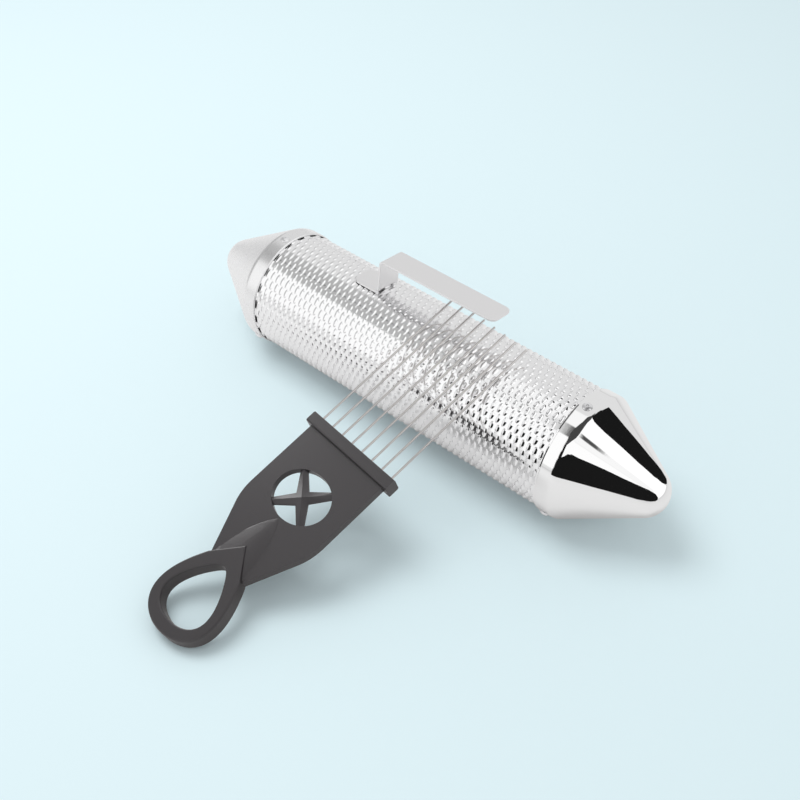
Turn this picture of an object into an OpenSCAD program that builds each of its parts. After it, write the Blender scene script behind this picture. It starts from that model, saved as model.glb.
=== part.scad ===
// Metal guiro with its scraper. A thin metal tube covered with raised dashes, closed by two cone caps that
// are riveted on, carries a bent hand strip. The scraper has a moulded handle and eight steel tines. It leans
// with its tines across the tube and the end of its loop on the table.
// X runs along the tube, Z is up and the origin is the middle of the tube, on its axis.

/* [Tube] */
// Length of tube that shows between the two collars
tube_length = 246.5; // [180:0.5:320]
// Diameter over the tips of the raised dashes
tube_d = 85; // [60:0.5:110]
// Thickness of the tube's sheet
sheet_t = 0.6; // [0.4:0.1:1.2]
// Height of a raised dash
dash_h = 0.6; // [0.3:0.05:1]
// Distance from dash to dash along the tube, made to fit a whole number of dashes
dash_pitch = 4.74; // [4:0.02:8]
// Rows of dashes round the tube, an even number so that the stagger closes
dash_rows = 42; // [24:2:46]
// Turn of the first row of dashes from straight up, towards the front
dash_turn = 6.9; // [0:0.1:8]

/* [Caps] */
// Width of the collar that laps over the end of the tube
collar_w = 11.2; // [8:0.1:20]
// Thickness of the caps' sheet
cap_t = 0.9; // [0.6:0.1:1.5]
// Length of the cone from its crease to its tip
cone_l = 56.3; // [40:0.5:90]
// Radius of the rounded tip
tip_r = 17.2; // [8:0.2:24]
// Radius of the bend between collar and cone
crease_r = 7; // [2:0.5:9]
// Gap between the dashes and the inside of a collar
collar_gap = 0.1; // [0.05:0.05:0.5]
// Gap between the end of the tube and the bend of a cap
end_gap = 1.5; // [0.5:0.1:3]

/* [Rivets] */
// Rivets round each collar
rivets_per_cap = 3; // [2:1:6]
// Diameter of a rivet's head
rivet_head_d = 6.4; // [5.5:0.1:8]
// Height of a rivet's head
rivet_head_h = 1.5; // [0.8:0.1:2.5]
// Diameter of a rivet's shank
rivet_d = 3.2; // [2.4:0.1:4.4]
// Diameter of the hole that the mandrel leaves in a rivet's head
mandrel_d = 1.8; // [1.2:0.1:2]
// Gap round a rivet's shank in its hole
rivet_gap = 0.05; // [0.02:0.01:0.2]
// Turn of the first rivet from straight up, towards the front
rivet_turn = 3.5; // [-20:0.5:20]

/* [Hand strip] */
// Width of the strip
strip_w = 20; // [12:0.5:30]
// Thickness of the strip
strip_t = 1.3; // [0.8:0.1:2.5]
// Height of the strip's flat top above the tips of the dashes
strip_h = 24.6; // [18:0.2:40]
// Length of the flat top
strip_l = 94.5; // [60:0.5:110]
// Length of the curved foot
foot_l = 22; // [14:0.5:34]
// Radius on the inside of the strip's bends
bend_r = 1.6; // [1:0.1:4]
// Radius of the rounded corners at both ends of the strip
strip_corner_r = 5; // [2:0.5:6]
// Place of the upright part along the tube
strip_x = -39.5; // [-60:0.5:-30]
// Turn of the strip from straight up, towards the back
strip_turn = 7.5; // [0:0.5:20]
// Gap between the foot and the tips of the dashes
foot_gap = 0.05; // [0.05:0.05:0.3]

/* [Scraper tines] */
// Number of tines
tines = 8; // [4:1:10]
// Distance from tine to tine
tine_pitch = 9.25; // [7:0.05:9.5]
// Length of a tine outside the handle
tine_l = 118.5; // [90:0.5:150]
// Diameter of a tine
tine_d = 1.4; // [1:0.1:2.4]
// Length of a tine inside the head bar
tine_grip = 6; // [4:0.5:6.5]
// Gap round a tine in its hole
tine_gap = 0.05; // [0.02:0.01:0.1]

/* [Scraper handle] */
// Length of the handle from the face of its head bar to the end of its loop
handle_l = 158; // [150:1:200]
// Depth of the head bar, along the handle
bar_w = 8; // [7.5:0.5:12]
// Thickness of the head bar
bar_t = 11; // [8:0.5:13]
// Length of head bar outside the outer tines, at each end
bar_end = 5.1; // [3:0.1:8]
// Overhang of the head bar past each side of the plate
bar_overhang = 4; // [1:0.1:5]
// Thickness of the flat plate
plate_t = 5; // [3:0.2:6]
// Length of the plate's straight sides, from the face of the head bar
plate_l = 67; // [56:0.5:72]
// Radius of the plate's rounded shoulders
shoulder_r = 40; // [10:1:44]
// Width of the neck where plate and loop meet
neck_w = 31; // [26:0.5:34]
// Length of the oval window, along the handle
window_l = 34.8; // [28:0.2:40]
// Width of the oval window
window_w = 42.4; // [30:0.2:44]
// Place of the window's middle, from the face of the head bar
window_u = 45; // [42:0.5:46]
// Arms of the cross in the window
arms = 4; // [4:1:8]
// Width of an arm where it meets the next one
arm_w = 8; // [5:0.2:9]
// Width of an arm where it meets the plate
arm_end_w = 4.2; // [2:0.2:5]

/* [Scraper loop] */
// Length of the loop from its end to the neck
loop_l = 52; // [46:0.5:60]
// Length of the loop's flat point past the neck
point_l = 17.5; // [12:0.5:22]
// Width of the rim at the end of the loop
rim_w = 8.5; // [6:0.5:10]
// Width of the loop's hole at its middle
hole_w = 34.2; // [28:0.2:38]
// Thickness of the loop
loop_t = 11; // [8:0.5:13]
// Size of the rounding along the edges of the loop
loop_edge = 1.4; // [0.8:0.2:2]

/* [Scraper at rest] */
// Place along the tube where the middle of the tines crosses it
rest_x = 38.6; // [30:0.2:50]
// Length of tine past the tube
tine_past = 29.1; // [15:0.1:36]
// Turn of the scraper from square across the tube
rest_turn = 7.1; // [0:0.1:12]
// Gap between the tines and the dashes
rest_gap = 0.3; // [0.2:0.05:0.6]
// Gap between the end of the loop and the table
table_gap = 0.1; // [0:0.05:0.5]

/* [Hidden] */
$fn = 96;

// Tube: radii at the tips of the dashes, between the dashes and inside
tip_of_dash = tube_d/2;
valley_r = tip_of_dash - dash_h;
bore_r = valley_r - sheet_t;
sheet_l = tube_length + 2*(collar_w - end_gap);
dashes = round(sheet_l/dash_pitch);
half_pitch = sheet_l/dashes/2;

// Caps: the collar's outside and the slope of the cone, which ends on the tip's sphere
collar_r = tip_of_dash + collar_gap + cap_t;
tip_c = cone_l - tip_r;
cone_slope = atan2(collar_r, tip_c) - asin(tip_r/norm([tip_c, collar_r]));
crease_run = crease_r*tan(cone_slope/2);
rivet_x = tube_length/2 + collar_w/2;

// Scraper: the head bar, the neck and the loop, as places along the handle from the face of the head bar
bar_l = (tines - 1)*tine_pitch + 2*bar_end;
plate_w = bar_l - 2*bar_overhang;
neck_u = handle_l - loop_l;
rest_reach = tine_l - tine_past;
tine_plane = tip_of_dash + rest_gap + tine_d/2;

// Slope at which the loop's end just meets the table, with the tines across the tube
foot_run = (rest_reach + handle_l)*cos(rest_turn) - loop_edge;
foot_rise = tine_plane - loop_t/2;
lean = acos((table_gap - collar_r)/norm([foot_rise, foot_run])) - atan2(foot_run, foot_rise);

function arc(c, r, from, to, n = 8) =
    [for (i = [0:n]) let (a = from + (to - from)*i/n) c + r*[cos(a), sin(a)]];
function reversed(list) = [for (i = [len(list) - 1:-1:0]) list[i]];
function unit(v) = v/norm(v);

// Arc that rounds the corner at b between the lines to a and to c
function corner(a, b, c, r, n = 8) =
    let (
        u = unit(a - b),
        v = unit(c - b),
        half = acos(u*v)/2,
        middle = b + unit(u + v)*r/sin(half),
        start = b + u*r/tan(half) - middle,
        end = b + v*r/tan(half) - middle,
        from = atan2(start[1], start[0]),
        turn = atan2(end[1], end[0]) - from,
        sweep = turn > 180 ? turn - 360 : turn < -180 ? turn + 360 : turn
    )
    arc(middle, r, from, from + sweep, n);

// Places a shape made along Z at an angle round the tube, counted from straight up towards the front
module round_tube(turn) {
    rotate([turn, 0, 0]) children();
}

// Tube

// The outside is a net of points at half the pitch. Each second point is the tip of a dash, so the four
// triangles round it make one dash, and the stagger from row to row comes from the same rule.
function dash_point(k, j) =
    let (
        raised = (k + j) % 2 == 1 && k > 0 && k < 2*dashes,
        r = raised ? tip_of_dash : valley_r,
        a = j*360/dash_rows + dash_turn
    )
    [(k - dashes)*half_pitch, -r*sin(a), r*cos(a)];
function bore_point(side, j) =
    let (a = j*360/dash_rows + dash_turn)
    [side*dashes*half_pitch, -bore_r*sin(a), bore_r*cos(a)];

module tube_sheet() {
    columns = 2*dashes + 1;
    outside = [for (k = [0:columns - 1], j = [0:dash_rows - 1]) dash_point(k, j)];
    inside = [for (side = [-1, 1], j = [0:dash_rows - 1]) bore_point(side, j)];
    function out(k, j) = k*dash_rows + j % dash_rows;
    function in(side, j) = (columns + side)*dash_rows + j % dash_rows;
    skin = [for (k = [0:columns - 2], j = [0:dash_rows - 1])
        each (k + j) % 2 == 0
            ? [[out(k, j), out(k + 1, j + 1), out(k + 1, j)], [out(k, j), out(k, j + 1), out(k + 1, j + 1)]]
            : [[out(k, j), out(k, j + 1), out(k + 1, j)], [out(k + 1, j), out(k, j + 1), out(k + 1, j + 1)]]];
    bore = [for (j = [0:dash_rows - 1])
        each [[in(0, j), in(1, j), in(1, j + 1)], [in(0, j), in(1, j + 1), in(0, j + 1)]]];
    left_end = [for (j = [0:dash_rows - 1])
        each [[out(0, j), in(0, j), in(0, j + 1)], [out(0, j), in(0, j + 1), out(0, j + 1)]]];
    last = columns - 1;
    right_end = [for (j = [0:dash_rows - 1])
        each [[out(last, j), in(1, j + 1), in(1, j)], [out(last, j), out(last, j + 1), in(1, j + 1)]]];
    polyhedron(concat(outside, inside), concat(skin, bore, left_end, right_end), convexity = 8);
}

module rivet_holes(d) {
    for (side = [-1, 1], i = [0:rivets_per_cap - 1])
        round_tube(rivet_turn + i*360/rivets_per_cap)
            translate([side*rivet_x, 0, bore_r - 3])
                cylinder(d = d, h = collar_r - bore_r + 6, $fn = 32);
}

module guiro_tube() {
    color("gainsboro") difference() {
        tube_sheet();
        rivet_holes(rivet_d + 2*rivet_gap);
    }
}

// Caps

// Outline of a cap along its length, taken in by a distance from its outer face
function cap_line(inset) = concat(
    [[collar_r - inset, 0]],
    [for (p = arc([collar_w - crease_run, collar_r - crease_r], crease_r - inset, 90, 90 - cone_slope))
        [p[1], p[0]]],
    [for (p = arc([collar_w + tip_c, 0], tip_r - inset, 90 - cone_slope, 0, 14)) [max(p[1], 0), p[0]]]);

module cap_shell() {
    rotate([0, 90, 0]) rotate_extrude()
        polygon(concat(cap_line(0), reversed(cap_line(cap_t))));
}

module cap(side) {
    color("silver") difference() {
        translate([side*tube_length/2, 0, 0]) mirror([side < 0 ? 1 : 0, 0, 0]) cap_shell();
        rivet_holes(rivet_d + 2*rivet_gap);
    }
}

module left_cap() {
    cap(-1);
}

module right_cap() {
    cap(1);
}

// Rivets

// A domed head with the mandrel's hole, a shank through both sheets and a swollen tail inside the tube
module rivet_shape() {
    brim = 0.3;
    dome_h = rivet_head_h - brim;
    dome_r = (pow(rivet_head_d/2, 2) + pow(dome_h, 2))/(2*dome_h);
    edge = asin(rivet_head_d/2/dome_r);
    lip = asin(mandrel_d/2/dome_r);
    depth = collar_r - bore_r*cos(180/dash_rows) + rivet_gap;
    tail_r = rivet_d*0.72;
    head = arc([0, rivet_head_h - dome_r], dome_r, 90 - edge, 90 - lip);
    rotate_extrude($fn = 48) polygon(concat(
        [[0, -depth - 2.4], [tail_r*0.6, -depth - 2.2], [tail_r, -depth - 1.3], [tail_r, -depth], [rivet_d/2, -depth],
            [rivet_d/2, 0], [rivet_head_d/2, 0]],
        head,
        [[mandrel_d/2, rivet_head_h - 1], [0, rivet_head_h - 1]]));
}

module rivet(side, i) {
    color("silver") round_tube(rivet_turn + (i - 1)*360/rivets_per_cap)
        translate([side*rivet_x, 0, collar_r]) rivet_shape();
}

// Hand strip

// Plan of the whole strip, with rounded corners at the free end and at the foot
module strip_plan() {
    from = strip_x - foot_l;
    to = strip_x + strip_l;
    half = strip_w/2;
    polygon(concat(
        corner([to, -half], [from, -half], [from, half], strip_corner_r),
        corner([from, -half], [from, half], [to, half], strip_corner_r),
        corner([from, half], [to, half], [to, -half], strip_corner_r),
        corner([to, half], [to, -half], [from, -half], strip_corner_r)));
}

// Height at which the turned foot hands over to the straight upright part
strip_join = tip_of_dash + foot_gap + strip_t + bend_r + 6;

// Side view of the foot, its bend and the start of the upright part, as place along the tube and distance
// from its axis
module foot_side() {
    low = tip_of_dash + foot_gap;
    r = bend_r + strip_t;
    polygon(concat(
        [[strip_x - foot_l, low + strip_t], [strip_x - foot_l, low]],
        arc([strip_x + strip_t - r, low + r], r, -90, 0),
        [[strip_x + strip_t, strip_join + 4], [strip_x, strip_join + 4]],
        arc([strip_x + strip_t - r, low + r], bend_r, 0, -90)));
}

// Side view of the upright part, its bend and the flat top
module top_side() {
    top = tip_of_dash + strip_h;
    r = bend_r + strip_t;
    polygon(concat(
        [[strip_x + strip_t, strip_join - 3], [strip_x, strip_join - 3]],
        arc([strip_x + r, top - r], r, 180, 90),
        [[strip_x + strip_l, top], [strip_x + strip_l, top - strip_t]],
        arc([strip_x + r, top - r], bend_r, 90, 180)));
}

// Keeps what lies over the plan of the strip, up to a height
module over_plan(top) {
    intersection() {
        translate([0, 0, tip_of_dash - strip_w/2]) linear_extrude(top - tip_of_dash + strip_w/2) strip_plan();
        children();
    }
}

module hand_strip() {
    color("lightgray") round_tube(-strip_turn) {
        // The foot follows the tube, so it is turned about the tube's axis
        over_plan(strip_join)
            rotate([0, 90, 0]) rotate_extrude()
                rotate([0, 0, 90]) mirror([0, 1, 0]) foot_side();
        over_plan(tip_of_dash + strip_h + 1)
            translate([0, strip_w/2 + 1, 0]) rotate([90, 0, 0]) linear_extrude(strip_w + 2) top_side();
    }
}

// Scraper

// Carries the scraper from its own frame, with X along the tines and the origin at the middle of the head
// bar's face, to where it leans on tube and table
module leaning() {
    rotate([lean, 0, 0])
        translate([rest_x, 0, tine_plane])
            rotate([0, 0, 90 - rest_turn])
                translate([-rest_reach, 0, 0]) children();
}

// Place on an egg-shaped line round a middle, with its narrow end towards the tines
function egg(middle, a, b, narrow, t) = [middle + a*cos(t), b*sin(t)*(1 - narrow*cos(t))];

// The loop's outline is an egg that reaches to the point's tip and is as wide as the neck at the neck, and
// straight lines from there to the tip. The hole is a smaller egg that ends just past the neck.
steps = 60;
loop_a = (loop_l + point_l)/2;
neck_t = acos(1 - point_l/loop_a);
loop_b = neck_w/2/(sin(neck_t)*(1 - 0.48*cos(neck_t)));
hole_a = (loop_l - rim_w - 0.4)/2;
function loop_line(inset) = concat(
    [[loop_a*2 - handle_l - inset*1.4, 0]],
    [for (i = [1:steps - 1]) let (t = neck_t + (360 - 2*neck_t)*(i - 1)/(steps - 2))
        egg(loop_a - handle_l, loop_a - inset, loop_b - inset, 0.48, t)]);
function hole_line(outset) = [for (i = [0:steps - 1])
    egg(rim_w + hole_a - handle_l, hole_a + outset, hole_w/2 + outset, 0.45, i*360/steps)];

// The rim of the loop: twelve lines round the loop, joined in turn, give it rounded edges
module loop_rim() {
    z = loop_t/2;
    e = loop_edge;
    lines = [
        [loop_line(0), z - e], [loop_line(e*0.3), z - e*0.3], [loop_line(e), z],
        [hole_line(e), z], [hole_line(e*0.3), z - e*0.3], [hole_line(0), z - e],
        [hole_line(0), e - z], [hole_line(e*0.3), e*0.3 - z], [hole_line(e), -z],
        [loop_line(e), -z], [loop_line(e*0.3), e*0.3 - z], [loop_line(0), e - z]];
    m = len(lines);
    points = [for (l = lines, p = l[0]) [p[0], p[1], l[1]]];
    function at(k, i) = (k % m)*steps + i % steps;
    polyhedron(points, [for (k = [0:m - 1], i = [0:steps - 1])
        each [[at(k, i), at(k + 1, i), at(k + 1, i + 1)], [at(k, i), at(k + 1, i + 1), at(k, i + 1)]]],
        convexity = 6);
}

// The ridge that swells from the window to the loop's point, leaf-shaped in plan and roof-shaped across
module ridge() {
    start = window_u + window_l/2 + 1.2;
    foot = plate_t/2 - 0.2;
    side = neck_w/2 - 0.6;
    rise = loop_t/2 - plate_t/2 - 0.4;
    shares = [0.01, 0.06, 0.14, 0.25, 0.38, 0.52, 0.68, 0.84, 1];
    rings = [for (s = shares)
        let (
            u = -start - (neck_u - start)*s,
            v = side*sin(90*pow(s, 0.8)),
            crest = plate_t/2 + rise*pow(s, 0.7),
            brow = plate_t/2 + rise*0.45*pow(s, 0.7)
        )
        [[u, v, foot], [u, v*0.86, brow], [u, v*0.3, crest - 0.08*v/side], [u, 0, crest],
            [u, -v*0.3, crest - 0.08*v/side], [u, -v*0.86, brow], [u, -v, foot],
            [u, -v, -foot], [u, -v*0.86, -brow], [u, -v*0.3, 0.08*v/side - crest], [u, 0, -crest],
            [u, v*0.3, 0.08*v/side - crest], [u, v*0.86, -brow], [u, v, -foot]]];
    n = len(rings[0]);
    last = len(shares) - 1;
    function at(k, i) = k*n + i % n;
    difference() {
        polyhedron([for (r = rings, p = r) p], concat(
            [for (k = [0:last - 1], i = [0:n - 1])
                each [[at(k, i), at(k + 1, i + 1), at(k + 1, i)], [at(k, i), at(k, i + 1), at(k + 1, i + 1)]]],
            [[for (i = [n - 1:-1:0]) at(0, i)], [for (i = [0:n - 1]) at(last, i)]]), convexity = 6);
        translate([0, 0, -loop_t]) linear_extrude(2*loop_t) polygon(hole_line(loop_edge + 0.3));
    }
}

// Outline of the flat plate, from under the head bar to the neck, with a notch that keeps clear of the hole
module plate_outline() {
    half = plate_w/2;
    neck = neck_w/2;
    right = concat(
        [[-bar_w/2, -half]],
        corner([-bar_w/2, -half], [-plate_l, -half], [-neck_u, 0.3 - neck], shoulder_r),
        [[-neck_u - 0.6, 0.5 - neck]]);
    polygon(concat(right, [[-neck_u + 6, 0]], reversed([for (p = right) [p[0], -p[1]]])));
}

module window_outline() {
    polygon([for (t = [0:5:355]) [window_l/2*cos(t) - window_u, window_w/2*sin(t)]]);
}

// The cross in the window. Its arms taper, and have a sharp crest on both faces.
module window_cross() {
    reach = window_w/2 + 0.5;
    crest = plate_t/2 - 0.2;
    edge = crest*0.35;
    inner = arm_w/2/sin(180/arms);
    function spun(p, k) = let (a = (k + 0.5)*360/arms)
        [p[0]*cos(a) - p[1]*sin(a), p[0]*sin(a) + p[1]*cos(a), p[2]];
    half_step = 180/arms;
    per_arm = [
        [reach, 0, crest], [reach, arm_end_w/2, edge], [reach, arm_end_w/2, -edge],
        [reach, 0, -crest], [reach, -arm_end_w/2, -edge], [reach, -arm_end_w/2, edge],
        [inner*cos(half_step), inner*sin(half_step), edge], [inner*cos(half_step), inner*sin(half_step), -edge]];
    n = len(per_arm);
    top = arms*n;
    bottom = top + 1;
    points = concat([for (k = [0:arms - 1], p = per_arm) spun(p, k)], [[0, 0, crest], [0, 0, -crest]]);
    function at(k, i) = ((k + arms) % arms)*n + i;
    polyhedron(points, [for (k = [0:arms - 1]) each [
        [top, at(k, 1), at(k, 0)], [top, at(k, 6), at(k, 1)],
        [top, at(k, 0), at(k, 5)], [top, at(k, 5), at(k - 1, 6)],
        [bottom, at(k, 3), at(k, 2)], [bottom, at(k, 2), at(k, 7)],
        [bottom, at(k, 4), at(k, 3)], [bottom, at(k - 1, 7), at(k, 4)],
        [at(k, 1), at(k, 6), at(k, 7)], [at(k, 1), at(k, 7), at(k, 2)],
        [at(k, 5), at(k, 4), at(k - 1, 7)], [at(k, 5), at(k - 1, 7), at(k - 1, 6)],
        [at(k, 0), at(k, 1), at(k, 2), at(k, 3), at(k, 4), at(k, 5)]]], convexity = 6);
}

// Cross-section of the head bar, along the handle and through its thickness
module bar_side() {
    h = bar_t/2;
    r = 1.4;
    polygon(concat(
        corner([0, -h], [0, h], [-bar_w, h], r, 5),
        corner([0, h], [-bar_w, h], [-bar_w, -h], r, 5),
        corner([-bar_w, h], [-bar_w, -h], [0, -h], r, 5),
        corner([-bar_w, -h], [0, -h], [0, h], r, 5)));
}

module head_bar() {
    translate([0, bar_l/2, 0]) rotate([90, 0, 0]) linear_extrude(bar_l) bar_side();
}

function tine_v(i) = (i - (tines + 1)/2)*tine_pitch;

module scraper_handle() {
    color([0.2, 0.19, 0.19]) leaning() difference() {
        union() {
            difference() {
                translate([0, 0, -plate_t/2]) linear_extrude(plate_t) plate_outline();
                translate([0, 0, -plate_t]) linear_extrude(2*plate_t) window_outline();
            }
            translate([-window_u, 0, 0]) window_cross();
            head_bar();
            ridge();
            loop_rim();
        }
        for (i = [1:tines]) translate([-tine_grip - tine_gap, tine_v(i), 0])
            rotate([0, 90, 0]) cylinder(d = tine_d + 2*tine_gap, h = tine_grip + 5, $fn = 32);
    }
}

module scraper_tine(i) {
    color("silver") leaning() translate([-tine_grip, tine_v(i), 0]) rotate([0, 90, 0])
        union() {
            cylinder(d = tine_d, h = tine_grip + tine_l - tine_d/4, $fn = 32);
            translate([0, 0, tine_grip + tine_l - tine_d/4]) cylinder(d1 = tine_d, d2 = tine_d/2, h = tine_d/4, $fn = 32);
        }
}

guiro_tube();
left_cap();
right_cap();
hand_strip();
scraper_handle();
for (i = [1:rivets_per_cap]) {
    rivet(-1, i);
    rivet(1, i);
}
for (i = [1:tines])
    scraper_tine(i);
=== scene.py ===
# %% [markdown]
# # A metal guiro and its scraper
# The guiro is a thin steel tube with pressed dashes, closed by two spun cone caps and carried by a bent
# strip. The scraper leans on it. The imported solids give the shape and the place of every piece. This
# lesson dresses them: it swaps the coarse skin of most pieces for finer meshes, mixes the finishes, and
# builds the small studio that the polished steel mirrors.

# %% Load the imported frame
import math

import bmesh
import bpy
import numpy as np
from mathutils import Matrix


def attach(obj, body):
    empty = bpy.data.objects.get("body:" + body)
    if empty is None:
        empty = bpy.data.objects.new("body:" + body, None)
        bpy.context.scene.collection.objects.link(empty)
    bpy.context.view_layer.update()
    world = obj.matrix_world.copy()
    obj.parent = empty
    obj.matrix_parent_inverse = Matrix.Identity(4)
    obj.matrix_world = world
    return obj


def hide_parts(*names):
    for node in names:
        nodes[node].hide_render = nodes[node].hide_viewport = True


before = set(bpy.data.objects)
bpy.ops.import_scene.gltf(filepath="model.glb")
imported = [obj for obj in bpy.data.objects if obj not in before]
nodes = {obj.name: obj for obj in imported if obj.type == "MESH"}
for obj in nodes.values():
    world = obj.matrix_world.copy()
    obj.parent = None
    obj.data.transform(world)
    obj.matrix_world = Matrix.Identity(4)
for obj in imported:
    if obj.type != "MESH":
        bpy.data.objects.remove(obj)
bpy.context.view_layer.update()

# %% [markdown]
# The camera comes first, because every later choice is judged through it. Its place and lens were worked
# out from the outline of the tube, the collars and the strip, so it is written as a place, a heading, a
# dip and a focal length in pixels of the 800 pixel picture. Camera and lamps both look away from their
# back, so one helper places them.

# %% Camera
PICTURE_PX = 800
FOCAL_PX = 1094
SENSOR_MM = 36
NEAREST = 0.02
CAMERA_PLACE = np.array([0.353, -0.428, 0.501])
CAMERA_HEADING = math.radians(-41.27)
CAMERA_DIP = math.radians(44.02)


def set_up(name, data, place, right, back):
    """A new object at a place, level along its right side, that looks away from its back."""
    obj = bpy.data.objects.new(name, data)
    bpy.context.scene.collection.objects.link(obj)
    matrix = np.eye(4)
    matrix[:3] = np.stack([right, np.cross(back, right), back, place], axis=1)
    obj.matrix_world = Matrix(matrix.tolist())
    return obj


def add_camera():
    level, down = math.cos(CAMERA_DIP), math.sin(CAMERA_DIP)
    back = np.array([-math.sin(CAMERA_HEADING) * level, -math.cos(CAMERA_HEADING) * level, down])
    right = np.array([math.cos(CAMERA_HEADING), -math.sin(CAMERA_HEADING), 0])
    data = bpy.data.cameras.new("camera")
    data.sensor_width = SENSOR_MM
    data.lens = FOCAL_PX / PICTURE_PX * SENSOR_MM
    data.clip_start = NEAREST
    camera = set_up("camera", data, CAMERA_PLACE, right, back)
    bpy.context.scene.camera = camera
    return camera


camera = add_camera()
print("lens:", round(camera.data.lens, 2), "mm")

# %% [markdown]
# The sizes below are in metres, and the same that the solids were made with, apart from the dashes, which
# are 0.05 mm less deep. The meshes that replace a solid's skin are computed from them, so they land where
# the solids are.

# %% Sizes of the guiro
MM = 0.001
TUBE_HALF = 246.5 / 2 * MM
DASH_TIP_R = 42.5 * MM
DASH_HEIGHT = 0.55 * MM
VALLEY_R = DASH_TIP_R - DASH_HEIGHT
TUBE_SHEET = 0.6 * MM
BORE_R = VALLEY_R - TUBE_SHEET
SHEET_HALF = 132.95 * MM
DASHES = 56
HALF_PITCH = SHEET_HALF / DASHES
DASH_ROWS = 42
DASH_TURN = math.radians(6.9)
COLLAR_R = 43.5 * MM
COLLAR_W = 11.2 * MM
CAP_SHEET = 0.9 * MM
CONE_L = 56.3 * MM
TIP_R = 17.2 * MM
CREASE_R = 7 * MM
RIVETS_PER_CAP = 3
RIVET_R = 3.2 * MM
RIVET_RISE = 1.5 * MM
RIVET_TURN = math.radians(3.5)

# %% [markdown]
# The finer meshes come from one helper that turns rows of points into a smooth mesh. It takes a grid of
# points, joins neighbours with quads and closes the grid where it goes round.

# %% Grid meshes
def grid_faces(rows, columns, closed=False, first=0):
    """Quads between the points of a grid that is stored row by row."""
    corners = first + np.arange(rows * columns).reshape(rows, columns)
    if closed:
        corners = np.hstack([corners, corners[:, :1]])
    near, far = corners[:-1], corners[1:]
    return np.stack([near[:, :-1], near[:, 1:], far[:, 1:], far[:, :-1]], axis=-1).reshape(-1, 4)


def mesh_object(name, points, faces, normals=None):
    """A smooth-shaded mesh object from arrays of points and of faces with equal corners."""
    points, faces = np.asarray(points, np.float32), np.asarray(faces, np.int32)
    mesh = bpy.data.meshes.new(name)
    mesh.vertices.add(len(points))
    mesh.vertices.foreach_set("co", points.ravel())
    corners = faces.shape[1]
    mesh.loops.add(faces.size)
    mesh.loops.foreach_set("vertex_index", faces.ravel())
    mesh.polygons.add(len(faces))
    mesh.polygons.foreach_set("loop_start", np.arange(0, faces.size, corners, dtype=np.int32))
    mesh.update(calc_edges=True)
    mesh.shade_smooth()
    if normals is not None:
        mesh.normals_split_custom_set_from_vertices(np.asarray(normals, np.float32))
    obj = bpy.data.objects.new(name, mesh)
    bpy.context.scene.collection.objects.link(obj)
    return obj


def along_tube(x, radius, angle):
    """Points at a place along the tube, a radius, and an angle from straight up towards the front."""
    x, radius, angle = np.broadcast_arrays(x, radius, angle)
    return np.stack([x, -radius * np.sin(angle), radius * np.cos(angle)], axis=-1)


# %% [markdown]
# Each dash is pressed out from inside: a narrow ridge with steep straight flanks, widest in its middle,
# that stops short at both ends. The flanks are what shows, because each mirrors a thin slice of the
# room. So a mesh of even squares would waste its points. Here every dash gets six strips across its own
# width, which narrow with it, and one strip for the flat between it and the next, and the slope at each
# point, a little steepened, is given to the mesh as its normal.

# %% Relief of the tube
DASH_HALF_WIDTH = 1.55 * MM
DASH_END_WIDTH = 0.6 * MM
DASH_END_FALL = 0.3
CREST_SHARE = 0.2
FOOT_SHARE = 0.1
STEEPER = 1.6
# Across a dash from foot to foot: the places, the way of the slope there, and the share of the height
ACROSS = np.array([-1, FOOT_SHARE - 1, -CREST_SHARE, 0, CREST_SHARE, 1 - FOOT_SHARE, 1])
FLANK = np.array([0, 1, 1, 0, -1, -1, 0])
FLANK_SUM = 1 - CREST_SHARE / 2 - FOOT_SHARE / 2
RISE = np.array([0, FOOT_SHARE / 2, FLANK_SUM - CREST_SHARE / 2, FLANK_SUM]) / FLANK_SUM
RISE = np.concatenate([RISE, RISE[-2::-1]])
# Lengthwise, which is round the tube: the places, and where the dash stands up from the flat
LENGTHWISE = np.array([-1, -0.93, -0.52, 0, 0.52, 0.93, 1])
STANDS = np.array([0, 1, 1, 1, 1, 1, 0])
RELIEF_HALF = 127.2 * MM
END_MARGIN = 1.6 * MM
ROW_STEP = 2 * math.pi / DASH_ROWS


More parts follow.
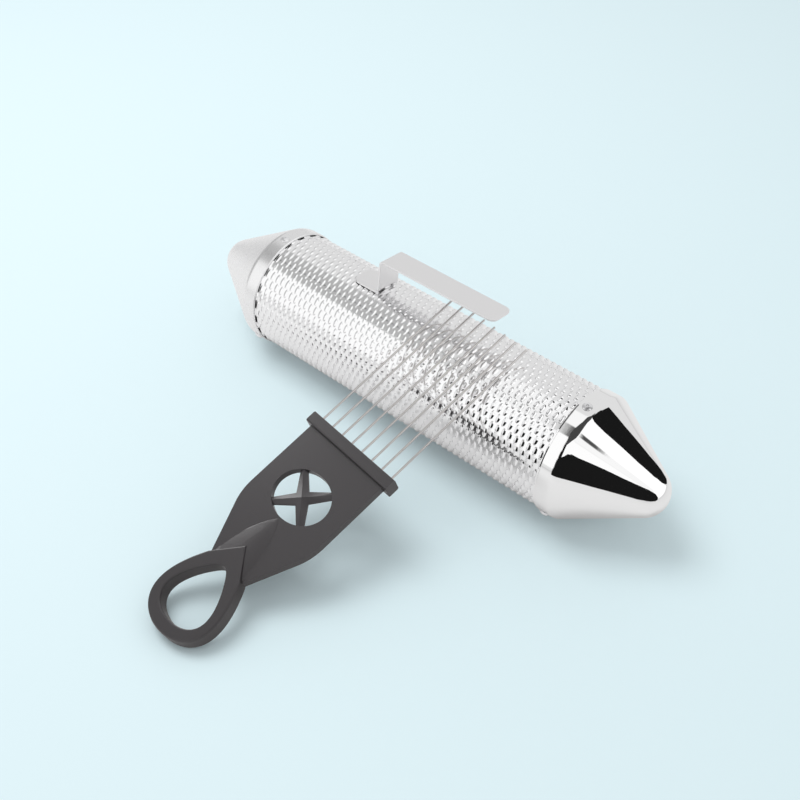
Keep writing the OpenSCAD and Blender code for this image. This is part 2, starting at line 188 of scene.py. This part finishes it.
def dash_surface(centres, row_angle):
    """Points and normals of one row of dashes, with the flats between them.

    t runs along a dash, which is round the tube, and s across it, both from -1 to 1.
    """
    t, stands = LENGTHWISE[:, None, None], STANDS[:, None, None]
    s, flank, part = [a[None, None, :] for a in (ACROSS, FLANK, RISE)]
    width = DASH_END_WIDTH + (DASH_HALF_WIDTH - DASH_END_WIDTH) * (1 - t**2)
    width_slope = -2 * t * (DASH_HALF_WIDTH - DASH_END_WIDTH)
    crest = DASH_HEIGHT * (1 - DASH_END_FALL * t**2)
    crest_slope = -2 * t * DASH_HEIGHT * DASH_END_FALL
    height = stands * crest * part
    by_x = stands * crest * flank / (FLANK_SUM * width)
    by_t = stands * (crest_slope * part - by_x * s * width_slope)
    half_length = VALLEY_R * ROW_STEP / 2
    x = centres[None, :, None] + width * s
    shape = (len(LENGTHWISE), len(centres) * len(ACROSS))
    grids = np.broadcast_arrays(x, height, by_x, by_t / half_length)
    x, height, slope_x, slope_a = [a.reshape(shape) for a in grids]
    flat = np.zeros((len(LENGTHWISE), 1))
    x = np.hstack([flat - RELIEF_HALF, x, flat + RELIEF_HALF])
    height, slope_x, slope_a = [np.hstack([flat, a, flat]) for a in (height, slope_x, slope_a)]
    angle = row_angle + LENGTHWISE[:, None] * ROW_STEP / 2
    points = along_tube(x, VALLEY_R + height, angle)
    outward = along_tube(np.zeros_like(x), 1.0, angle)
    round_way = along_tube(np.zeros_like(x), 1.0, angle + math.pi / 2)
    uphill = slope_a[..., None] * round_way + slope_x[..., None] * np.array([1.0, 0, 0])
    normals = outward - STEEPER * uphill
    normals /= np.linalg.norm(normals, axis=-1, keepdims=True)
    return points, normals


def relief_tube():
    """Rows of dashes in a running bond, then the plain ends and the bore as rings."""
    points, normals, faces, first = [], [], [], 0
    for row in range(DASH_ROWS):
        odd = np.arange(-DASHES + 1, DASHES)
        odd = odd[(odd + DASHES + row) % 2 == 1] * HALF_PITCH
        centres = odd[np.abs(odd) < RELIEF_HALF - END_MARGIN]
        p, n = dash_surface(centres, DASH_TURN + row * ROW_STEP)
        faces.append(grid_faces(*p.shape[:2], first=first)[:, ::-1])
        first += p.shape[0] * p.shape[1]
        points.append(p.reshape(-1, 3))
        normals.append(n.reshape(-1, 3))
    lanes = len(LENGTHWISE) - 1
    round_angles = np.arange(DASH_ROWS * lanes) * ROW_STEP / lanes
    lap = [(RELIEF_HALF, VALLEY_R), (SHEET_HALF, VALLEY_R), (SHEET_HALF, BORE_R), (-SHEET_HALF, BORE_R),
           (-SHEET_HALF, VALLEY_R), (-RELIEF_HALF, VALLEY_R)]
    for start, end in zip(lap[:-1], lap[1:]):
        ring = np.array([start, end])
        p = along_tube(ring[:, :1], ring[:, 1:], round_angles[None, :])
        along = np.subtract(end, start)
        face_way = [-along[1], along[0]] / np.linalg.norm(along)
        n = np.repeat(along_tube(-face_way[0], -face_way[1], round_angles[None, :]), 2, axis=0)
        faces.append(grid_faces(2, len(round_angles), closed=True, first=first))
        first += 2 * len(round_angles)
        points.append(p.reshape(-1, 3))
        normals.append(n.reshape(-1, 3))
    return mesh_object("tube_relief", np.vstack(points), np.vstack(faces), np.vstack(normals))


tube = relief_tube()
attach(tube, "guiro")
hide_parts("guiro_tube")
print("tube:", len(tube.data.vertices), "points,", len(tube.data.polygons), "quads")

# %% [markdown]
# The caps and the rivets are turned shapes. Each is one line, as places along the axis and distances from
# it, spun round. Arcs get many points, because a mirror shows every corner of a line.

# %% Turned shapes
ON_AXIS = 1e-6


def arc(along, from_axis, r, start, end, steps):
    """Points of an arc, with angles in degrees from the axis direction towards the outside."""
    a = np.radians(np.linspace(start, end, steps))
    return np.stack([along + r * np.cos(a), from_axis + r * np.sin(a)], axis=1)


def turned(name, line, columns, crease=35):
    """A line spun round the X axis, with the corners that are sharper than the crease kept sharp."""
    line = np.asarray(line)
    angles = np.arange(columns) * 2 * math.pi / columns
    points = along_tube(line[:, :1], np.maximum(line[:, 1:], ON_AXIS), angles[None, :])
    obj = mesh_object(name, points.reshape(-1, 3), grid_faces(len(line), columns, closed=True))
    obj.data.set_sharp_from_angle(angle=math.radians(crease))
    return obj


# %% [markdown]
# A cap is a collar, a tight bend, a straight cone and a round tip, with the inside of the sheet on the
# way back. Its lip is rolled in a little, which shows as a fine groove beside the tube.

# %% Caps
CAP_COLUMNS = 256
COLLAR_START = 1.2 * MM
COLLAR_STEPS = 8
TIP_PLACE = COLLAR_W + CONE_L - TIP_R
CONE_SLOPE = math.degrees(math.atan2(COLLAR_R, CONE_L - TIP_R)
                          - math.asin(TIP_R / math.hypot(CONE_L - TIP_R, COLLAR_R)))
CREASE_RUN = CREASE_R * math.tan(math.radians(CONE_SLOPE / 2))
BEND_STEPS, FLANK_STEPS, TIP_STEPS = 25, 12, 40


def cap_line(inset):
    """The bend between collar and cone, the cone, and the round tip, taken in for the inside."""
    start, centre_r = COLLAR_W - CREASE_RUN, COLLAR_R - CREASE_R
    bend = arc(start, centre_r, CREASE_R - inset, 90, 90 - CONE_SLOPE, BEND_STEPS)
    tip = arc(TIP_PLACE, 0, TIP_R - inset, 90 - CONE_SLOPE, 0, TIP_STEPS)
    flank = np.linspace(bend[-1], tip[0], FLANK_STEPS + 2)[1:-1]
    return np.vstack([bend, flank, tip])


def turned_cap(name, side):
    lip = np.array([(0, 42.6), (0, 43.2), (0.55, 42.95), (0.8, 43.42), (0.95, 43.5)]) * MM
    places = np.linspace(COLLAR_START, COLLAR_W - CREASE_RUN - 0.1 * MM, COLLAR_STEPS)
    collar = np.stack([places, np.full(COLLAR_STEPS, COLLAR_R)], axis=1)
    line = np.vstack([lip, collar, cap_line(0), cap_line(CAP_SHEET)[::-1], lip[:1]])
    line[:, 0] += TUBE_HALF
    cap = turned(name, line, CAP_COLUMNS)
    if side < 0:
        cap.data.transform(Matrix.Diagonal((-1, 1, 1, 1)))
        cap.data.flip_normals()
    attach(cap, "guiro")
    return cap


caps = {name: turned_cap(name + "_skin", side) for name, side in (("left_cap", -1), ("right_cap", 1))}
for name, cap in caps.items():
    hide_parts(name)
    print(name, "box:", [tuple(round(v, 4) for v in cap.bound_box[i]) for i in (0, 6)])

# %% [markdown]
# A blind rivet keeps the broken end of its mandrel in the middle of the dome, which shows as a small dot
# with a dark ring round it.

# %% Rivets
RIVET_COLUMNS = 48
RIVET_BRIM = 0.3 * MM
RIVET_HOLE_R = 0.9 * MM
DOME_STEPS = 14


def rivet_line():
    """From the swollen tail in the tube, along the shank, under the head and over it to the dot."""
    rise = RIVET_RISE - RIVET_BRIM
    dome_r = (RIVET_R**2 + rise**2) / (2 * rise)
    edge, hole = [math.degrees(math.asin(r / dome_r)) for r in (RIVET_R, RIVET_HOLE_R)]
    tail = np.array([(-4.5, 0), (-4.4, 1.4), (-3.5, 2.3), (-2.4, 2.3), (-2.2, 1.6)]) * MM
    under = np.array([(0, 1.6), (0, 3.1)]) * MM
    rim = np.array([(0.1 * MM, RIVET_R)])
    dome = arc(RIVET_RISE - dome_r, 0, dome_r, edge, hole, DOME_STEPS)
    dot = np.array([(1.36, 0.84), (0.7, 0.8), (0.7, 0.62), (1.12, 0.6), (1.2, 0.5), (1.22, 0)]) * MM
    return np.vstack([tail, under, rim, dome, dot])


def turned_rivet(name, side, i):
    obj = turned(name, rivet_line(), RIVET_COLUMNS, crease=50)
    turn = RIVET_TURN + i * math.radians(360 / RIVETS_PER_CAP)
    out = Matrix.Rotation(turn, 4, "X") @ Matrix.Rotation(math.radians(-90), 4, "Y")
    place = Matrix.Translation((side * (TUBE_HALF + COLLAR_W / 2), *along_tube(0, COLLAR_R, turn)[1:]))
    obj.data.transform(place @ out)
    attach(obj, "guiro")
    return obj


rivets = {}
for side, word in ((-1, "left"), (1, "right")):
    for i in range(RIVETS_PER_CAP):
        node_name = f"{word}_rivet_{i + 1}"
        rivets[node_name] = turned_rivet(node_name + "_skin", side, i)
        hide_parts(node_name)
print("rivets:", len(rivets), "points each:", len(rivets["left_rivet_1"].data.vertices))

# %% [markdown]
# Strip and handle keep the skin of their solids, but real edges are never perfectly sharp: a stamped
# strip has a thin bright burr, a moulded handle a soft line. A narrow bevel along every corner catches
# the light.

# %% Broken edges
WELD = 2e-6
FLAT_ENOUGH = math.radians(1.5)


def broken_edges(node_name, width, corner, smooth):
    """A solid's skin with a narrow bevel along each edge that is sharper than a corner angle."""
    source = nodes[node_name]
    mesh = source.data.copy()
    mesh.name = node_name + "_skin"
    obj = bpy.data.objects.new(mesh.name, mesh)
    bpy.context.scene.collection.objects.link(obj)
    mesh.transform(source.matrix_world)
    work = bmesh.new()
    work.from_mesh(mesh)
    bmesh.ops.remove_doubles(work, verts=work.verts, dist=WELD)
    bmesh.ops.dissolve_limit(work, angle_limit=FLAT_ENOUGH, verts=work.verts, edges=work.edges)
    shared = [edge for edge in work.edges if len(edge.link_faces) == 2]
    sharp = [edge for edge in shared if edge.calc_face_angle() > math.radians(corner)]
    bmesh.ops.bevel(work, geom=sharp, offset=width, segments=2, profile=0.5, affect="EDGES",
                    clamp_overlap=True)
    work.to_mesh(mesh)
    work.free()
    mesh.shade_smooth()
    mesh.set_sharp_from_angle(angle=math.radians(smooth))
    even = obj.modifiers.new("even_normals", "WEIGHTED_NORMAL")
    even.keep_sharp = True
    print(node_name, "edges bevelled:", len(sharp), "faces:", len(mesh.polygons))
    return obj


strip = broken_edges("hand_strip", width=0.22 * MM, corner=40, smooth=50)
handle = broken_edges("scraper_handle", width=0.35 * MM, corner=32, smooth=50)
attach(strip, "guiro")
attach(handle, "scraper")
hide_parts("hand_strip")
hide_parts("scraper_handle")

# %% [markdown]
# Every finish is a node material. A helper makes a Principled shader and gives back what the finishes
# need. Scalars that are the same all over are set on the shader itself.

# %% Material helper
def new_material(name, colour, metallic, roughness):
    material = bpy.data.materials.new(name)
    material.use_nodes = True
    tree = material.node_tree
    shader = tree.nodes["Principled BSDF"]
    shader.inputs["Base Color"].default_value = (*colour, 1)
    shader.inputs["Metallic"].default_value = metallic
    shader.inputs["Roughness"].default_value = roughness
    return material, tree, shader


def add_node(tree, kind, links=(), **values):
    """A node with its inputs or its settings given by name, and its links made."""
    node = tree.nodes.new(kind)
    for key, value in values.items():
        if key in node.inputs:
            node.inputs[key].default_value = value
        else:
            setattr(node, key, value)
    for socket, source in links:
        tree.links.new(source, node.inputs[socket])
    return node


def rough_noise(tree, shader, coordinate, scale, low, high, bump, distance):
    """Uneven roughness and a faint bump from one noise."""
    noise = add_node(tree, "ShaderNodeTexNoise", [("Vector", coordinate)], Scale=scale, Detail=6.0)
    spread = add_node(tree, "ShaderNodeMapRange", [("Value", noise.outputs["Fac"])])
    spread.inputs["To Min"].default_value = low
    spread.inputs["To Max"].default_value = high
    tree.links.new(spread.outputs["Result"], shader.inputs["Roughness"])
    height = [("Height", noise.outputs["Fac"])]
    tilt = add_node(tree, "ShaderNodeBump", height, Strength=bump, Distance=distance)
    tree.links.new(tilt.outputs["Normal"], shader.inputs["Normal"])


# %% [markdown]
# Polished steel is nearly a mirror with faint unevenness, and the left cap is duller than the right one.
# The strip is brushed and the wires are drawn along their length, which squeezes the noise into streaks.
# The handle is a dark moulded plastic with a fine grain.

# %% Finishes
def object_place(tree):
    return add_node(tree, "ShaderNodeTexCoord").outputs["Object"]


def stretched(tree, coordinate, scale):
    """The same place, squeezed along some axes, so that a noise becomes streaks."""
    node = add_node(tree, "ShaderNodeMapping", [("Vector", coordinate)])
    node.inputs["Scale"].default_value = scale
    return node.outputs["Vector"]


def polished_steel(name, colour, low, high):
    material, tree, shader = new_material(name, colour, 1.0, low)
    rough_noise(tree, shader, object_place(tree), 160, low, high, bump=0.02, distance=0.0002)
    return material


tube_steel = polished_steel("polished_tube_steel", (0.92, 0.92, 0.925), low=0.05, high=0.12)
cap_steel = polished_steel("polished_cap_steel", (0.93, 0.93, 0.93), low=0.015, high=0.04)
dull_cap_steel = polished_steel("dull_cap_steel", (0.86, 0.86, 0.865), low=0.24, high=0.3)


def satin_steel(name, colour, streaks):
    material, tree, shader = new_material(name, colour, 1.0, 0.34)
    place = stretched(tree, object_place(tree), streaks)
    rough_noise(tree, shader, place, 900, low=0.26, high=0.42, bump=0.05, distance=0.0001)
    return material


strip_steel = satin_steel("satin_strip_steel", (0.86, 0.855, 0.86), (0.05, 1, 1))
tine_steel = satin_steel("drawn_tine_steel", (0.62, 0.6, 0.59), (1, 0.05, 1))
rivet_metal = satin_steel("soft_rivet_metal", (0.86, 0.86, 0.87), (1, 1, 1))


def moulded_plastic():
    dark = (0.034, 0.031, 0.033)
    material, tree, shader = new_material("moulded_handle_plastic", dark, 0.0, 0.32)
    rough_noise(tree, shader, object_place(tree), 1400, low=0.27, high=0.38, bump=0.12, distance=0.0002)
    return material


handle_plastic = moulded_plastic()


def paint(obj, material):
    obj.data.materials.clear()
    obj.data.materials.append(material)


paint(tube, tube_steel)
paint(caps["left_cap"], dull_cap_steel)
paint(caps["right_cap"], cap_steel)
paint(strip, strip_steel)
paint(handle, handle_plastic)
for rivet in rivets.values():
    paint(rivet, rivet_metal)
tines = [obj for name, obj in nodes.items() if "tine" in name]
for tine in tines:
    paint(tine, tine_steel)
print("tines painted:", len(tines), "of", len(nodes), "nodes")

# %% [markdown]
# The floor is plain and pale. The camera sees it with a faint cool tint; the steel sees it neutral, as a
# grey sweep of paper.

# %% Floor
FLOOR_Z = -COLLAR_R
FLOOR_REACH = 6.0
NEUTRAL = (0.8, 0.8, 0.8)
COOL = (0.7, 0.84, 0.88)


def pale_floor():
    material, tree, shader = new_material("pale_floor", NEUTRAL, 0.0, 0.9)
    shader.inputs["Specular IOR Level"].default_value = 0.0
    seen = add_node(tree, "ShaderNodeLightPath").outputs["Is Camera Ray"]
    tint = add_node(tree, "ShaderNodeMix", [("Factor", seen)], data_type="RGBA")
    ends = [socket for socket in tint.inputs if socket.type == "RGBA"]
    ends[0].default_value = (*NEUTRAL, 1)
    ends[1].default_value = (*COOL, 1)
    colour = next(socket for socket in tint.outputs if socket.type == "RGBA")
    tree.links.new(colour, shader.inputs["Base Color"])
    return material


quarters = ((-1, -1), (1, -1), (1, 1), (-1, 1))
floor_points = [(x * FLOOR_REACH, y * FLOOR_REACH, FLOOR_Z) for x, y in quarters]
floor = mesh_object("floor", floor_points, [(0, 1, 2, 3)])
paint(floor, pale_floor())
print("floor at", FLOOR_Z, "m")

# %% [markdown]
# Polished steel has no colour of its own, only what it mirrors. The world below is the studio round the
# table: soft white boxes and grey and dark panels, placed in degrees by heading, by height and by the turn
# round the tube. Only mirrored rays see them; the lamps and an even sky light the rest.

# %% Studio
EVEN_SKY = 0.75
SEEN_SKY = 0.95


def studio_world():
    world = bpy.data.worlds.new("studio")
    bpy.context.scene.world = world
    world.use_nodes = True
    tree = world.node_tree
    background = tree.nodes["Background"]

    def feed(node, values):
        """Numbers are set on a node's inputs, other nodes' outputs are linked to them."""
        for i, value in values:
            if isinstance(value, (int, float)):
                node.inputs[i].default_value = value
            else:
                tree.links.new(value, node.inputs[i])
        return node.outputs[0]

    def math_node(operation, *values):
        return feed(add_node(tree, "ShaderNodeMath", operation=operation), enumerate(values))

    def soft_step(value, edge, soft):
        """From 0 to 1 over twice the softness, with the edge in the middle."""
        node = add_node(tree, "ShaderNodeMapRange", [("Value", value)], interpolation_type="SMOOTHSTEP")
        node.inputs["From Min"].default_value = edge - soft
        node.inputs["From Max"].default_value = edge + soft
        return node.outputs["Result"]

    def inside(value, low, high, soft):
        """1 between a low and a high edge, 0 outside, with both edges soft."""
        return math_node("SUBTRACT", soft_step(value, low, soft), soft_step(value, high, soft))

    def blend(base, top, share):
        """A light with another one over it, by its share."""
        node = add_node(tree, "ShaderNodeMix", [("Factor", share)], data_type="FLOAT")
        return feed(node, ((2, base), (3, top)))

    place = add_node(tree, "ShaderNodeTexCoord").outputs["Generated"]
    split = add_node(tree, "ShaderNodeSeparateXYZ", [("Vector", place)])
    x, y, z = [split.outputs[i] for i in range(3)]
    degrees = 180 / math.pi
    heading = math_node("MULTIPLY", math_node("ARCTAN2", x, y), degrees)
    height = math_node("MULTIPLY", math_node("ARCSINE", z), degrees)
    around = math_node("MULTIPLY", math_node("ARCTAN2", z, y), degrees)

    # A white sweep over the front, and a panel over the table that is grey on the left
    light = blend(0.78, 1.06, inside(around, 117, 176, 2))
    panel = blend(0.48, 1.0, soft_step(x, -0.45, 0.05))
    light = blend(light, panel, inside(around, 71, 117, 2))
    # A dark gap between both over the middle, and a narrow seam in the grey panel
    middle = math_node("SUBTRACT", soft_step(x, -0.345, 0.01), soft_step(x, 0.15, 0.03))
    light = blend(light, 0.05, math_node("MULTIPLY", inside(around, 98, 117, 1.5), middle))
    left = math_node("SUBTRACT", 1, soft_step(x, -0.45, 0.05))
    light = blend(light, 0.12, math_node("MULTIPLY", inside(around, 96, 98, 0.5), left))
    # A grey wall past the left end, and a white box behind and beside the right end
    far_left = math_node("SUBTRACT", 1, soft_step(x, -0.8, 0.05))
    light = blend(light, 0.5, math_node("MULTIPLY", far_left, inside(height, -2, 40, 4)))
    box = math_node("MULTIPLY", inside(heading, 38, 100, 1.5), inside(height, -8, 56, 1.5))
    light = blend(light, 1.12, box)
    # A small dark clip at the edge of that box, which leaves a short streak on the cone
    lean = math_node("MULTIPLY_ADD", heading, 0.33, height)
    clip = math_node("MULTIPLY", inside(heading, 98.5, 106.3, 1.5), inside(lean, 80.2, 82.3, 0.5))
    light = blend(light, 0.08, clip)

    path = add_node(tree, "ShaderNodeLightPath")
    strength = blend(EVEN_SKY, light, path.outputs["Is Glossy Ray"])
    strength = blend(strength, SEEN_SKY, path.outputs["Is Camera Ray"])
    tree.links.new(strength, background.inputs["Strength"])
    background.inputs["Color"].default_value = (1, 1, 1, 1)
    print("studio:", len(tree.nodes), "nodes")


studio_world()

# %% [markdown]
# The black flanks on the right half of the tube, and the black bands of the right cone, need cards that
# stand close by: far ones would show in the left half too. Only mirrored rays see them. Each card is laid
# out from its own reflection: its band is drawn on the cap, and every corner goes from the camera's place
# over the polished skin to the card's plane. The two cards that are meant for the cone alone are dark
# towards it and let light through from behind, so the dashes on top of the tube stay light.

# %% Near cards
LIP_TO_TIP = np.vstack([(0, COLLAR_R), cap_line(0)])
RUN_OF_LINE = np.concatenate([[0], np.cumsum(np.hypot(*np.diff(LIP_TO_TIP, axis=0).T))])
BEND_LEAN, TIP_LEAN = np.linspace(0, CONE_SLOPE, BEND_STEPS), np.linspace(CONE_SLOPE, 90, TIP_STEPS)
LEAN_OF_LINE = np.radians(np.concatenate([[0], BEND_LEAN, np.full(FLANK_STEPS, CONE_SLOPE), TIP_LEAN]))
EDGE_STEPS = 5
BLACK, DARK_GREY = 0.01, 0.06


def card_material(name, light, one_way):
    material, tree, shader = new_material(name, (0, 0, 0), 0.0, 0.9)
    shader.inputs["Specular IOR Level"].default_value = 0.0
    shader.inputs["Emission Color"].default_value = (1, 1, 1, 1)
    shader.inputs["Emission Strength"].default_value = light
    if one_way:
        behind = add_node(tree, "ShaderNodeNewGeometry").outputs["Backfacing"]
        clear = add_node(tree, "ShaderNodeBsdfTransparent").outputs["BSDF"]
        dark = shader.outputs["BSDF"]
        mixed = add_node(tree, "ShaderNodeMixShader", [(0, behind), (1, dark), (2, clear)])
        tree.links.new(mixed.outputs["Shader"], tree.nodes["Material Output"].inputs["Surface"])
    return material


def mirrored_to(origin, facing, turn, place):
    """Where the camera's ray meets a card's plane, once mirrored by the cap at a turn and a place."""
    lean = np.interp(place, RUN_OF_LINE, LEAN_OF_LINE)
    along, out = [np.interp(place, RUN_OF_LINE, LIP_TO_TIP[:, i]) for i in (0, 1)]
    outward = along_tube(0, 1, math.radians(turn))
    point = np.array([TUBE_HALF + along, 0, 0]) + out * outward
    normal = np.array([math.sin(lean), 0, 0]) + math.cos(lean) * outward
    ray = point - CAMERA_PLACE
    ray -= 2 * (ray @ normal) * normal
    return point + ray * ((origin - point) @ facing) / (ray @ facing)


def near_card(name, origin, facing, band, light=BLACK, one_way=False):
    """A flat card through an origin, facing the cap, with the outline that shows as a band on it."""
    origin, facing, band = [np.array(v, float) for v in (origin, facing, band)]
    shares = np.arange(EDGE_STEPS)[:, None] / EDGE_STEPS
    edges = [start + (end - start) * shares for start, end in zip(band, np.roll(band, -1, axis=0))]
    corners = [mirrored_to(origin, facing, turn, place * MM) for turn, place in np.vstack(edges)]
    corners = np.array(corners)
    if np.cross(corners, np.roll(corners, -1, axis=0)).sum(axis=0) @ facing < 0:
        corners = corners[::-1]
    card = mesh_object(name, corners, [range(len(corners))])
    paint(card, card_material(name, light, one_way))
    card.visible_camera = card.visible_diffuse = False
    card.visible_shadow = card.visible_transmission = False
    print(name, "reaches from", corners.min(axis=0).round(3), "to", corners.max(axis=0).round(3))


# Bands on the cap: degrees round it from the top towards the front, and millimetres from the lip
FRONT = [(67.3, 8.8), (67.3, 13.7), (66.2, 35), (64.5, 52), (63, 62), (61, 66), (57, 70),
         (40.5, 49.3), (44.7, 20), (44.7, 14), (46.3, 12.6), (48.8, 11.6), (50.5, 10.4), (46, 10.1),
         (40, 9.7), (30, 9.7), (30, 8.7)]
END = [(61, 66), (57, 70), (52, 72.5), (45, 73.5), (38, 73), (33.5, 70.5), (33.8, 67.5), (36, 62.5),
       (38.5, 56.5), (40.5, 49.3)]
BEHIND = [(-11, 14.5), (-13.5, 30), (-17, 42), (-20.5, 52), (-29, 63), (-28, 69), (-20, 71.5),
          (-10, 71.3), (-2, 69), (3.5, 63.5), (7.7, 51), (10, 34), (11.3, 24), (11.3, 13.7), (9, 12),
          (0, 12.8)]
ABOVE = [(24, 8.6), (21, 9.1), (18, 9.7), (12, 10.1), (9, 11.3), (4, 12), (12, 12.6), (16, 12.2),
         (28, 12.5), (32, 12.1), (36, 10.9), (40, 9.8), (40, 8.7), (30, 7.6)]
ASIDE, STEEP = math.radians(68), math.radians(50)
forward = (math.cos(ASIDE), -math.sin(ASIDE), 0)
downward = (math.sin(STEEP), 0, -math.cos(STEEP))
near_card("front_card", (0, -0.1, 0), (0, 1, 0), FRONT)
near_card("end_card", (0.3, 0, 0), (-1, 0, 0), END)
near_card("behind_card", (0.06, 0, 0), forward, BEHIND, one_way=True)
near_card("above_card", (0.094, 0, 0.072), downward, ABOVE, DARK_GREY, one_way=True)

# %% [markdown]
# Two lamps light what isn't a mirror, and both face the middle of the tube. The key lamp is large and
# high, for a soft shadow. The raking lamp comes in low from the left and lights the dark handle alone,
# which shows its ridge and its edges.

# %% Lamps
def soft_lamp(name, place, size, power, mirrored):
    data = bpy.data.lights.new(name, "AREA")
    data.size = size
    data.energy = power
    back = np.array(place) / np.linalg.norm(place)
    right = np.cross([0, 0, 1], back)
    lamp = set_up(name, data, place, right / np.linalg.norm(right), back)
    lamp.visible_glossy = mirrored
    return lamp


soft_lamp("key_lamp", (-0.7, -0.2, 1.5), size=0.9, power=12, mirrored=False)
rake = soft_lamp("raking_lamp", (-0.34, -0.02, 0.2), size=0.3, power=1.2, mirrored=True)
raked = bpy.data.collections.new("raked")
raked.objects.link(handle)
rake.light_linking.receiver_collection = raked
bpy.context.scene.view_settings.view_transform = "Standard"
print("lamps:", len(bpy.data.lights))
